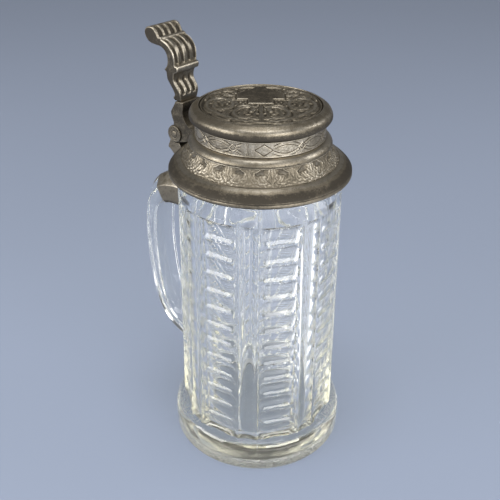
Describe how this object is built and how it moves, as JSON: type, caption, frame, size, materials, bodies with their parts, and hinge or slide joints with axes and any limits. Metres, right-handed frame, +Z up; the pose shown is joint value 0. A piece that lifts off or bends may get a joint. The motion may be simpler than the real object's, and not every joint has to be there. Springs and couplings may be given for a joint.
{
  "type": "lidded beer stein",
  "caption": "Tall pressed-glass beer mug with a side handle and a stepped, hinged pewter lid raised by a scrolled thumb lift.",
  "frame": {"origin": "centre of the foot's flat underside, on the axis of the mug", "axes": "+Z up along the mug, +X towards the handle and the hinge, +Y along the hinge pin"},
  "size_m": [0.1281, 0.0966, 0.2235],
  "materials": {
    "glass": "clear pressed soda-lime glass, fire-polished, with a faint straw tint in the thick edges",
    "pewter": "cast and turned pewter with a dull warm grey patina, brighter along the worn edges",
    "relief_pewter": "cast pewter relief, dark in the hollows and rubbed bright on the high parts",
    "pin": "plain drawn wire, dull"
  },
  "bodies": {
    "mug": {"glass_body": "glass", "glass_handle": "glass", "handle_strap": "pewter", "hinge_shank": "pewter", "hinge_pin": "pin"},
    "lid": {"lid_shell": "pewter", "lid_locating_ring": "pewter", "lid_foliage_band": "relief_pewter", "lid_waist_ring": "pewter", "lid_strapwork_band": "relief_pewter", "lid_crown_ring": "pewter", "lid_relief_disc": "relief_pewter", "lid_bracket": "pewter", "hinge_rosette_left": "pewter", "hinge_rosette_right": "pewter", "thumb_lift": "pewter"}
  },
  "joints": [
    {"name": "lid_hinge", "type": "hinge", "parent": "mug", "child": "lid", "pos_m": [0.0515, 0, 0.169], "axis": [0, 1, 0], "range_deg": [0, 100]}
  ]
}
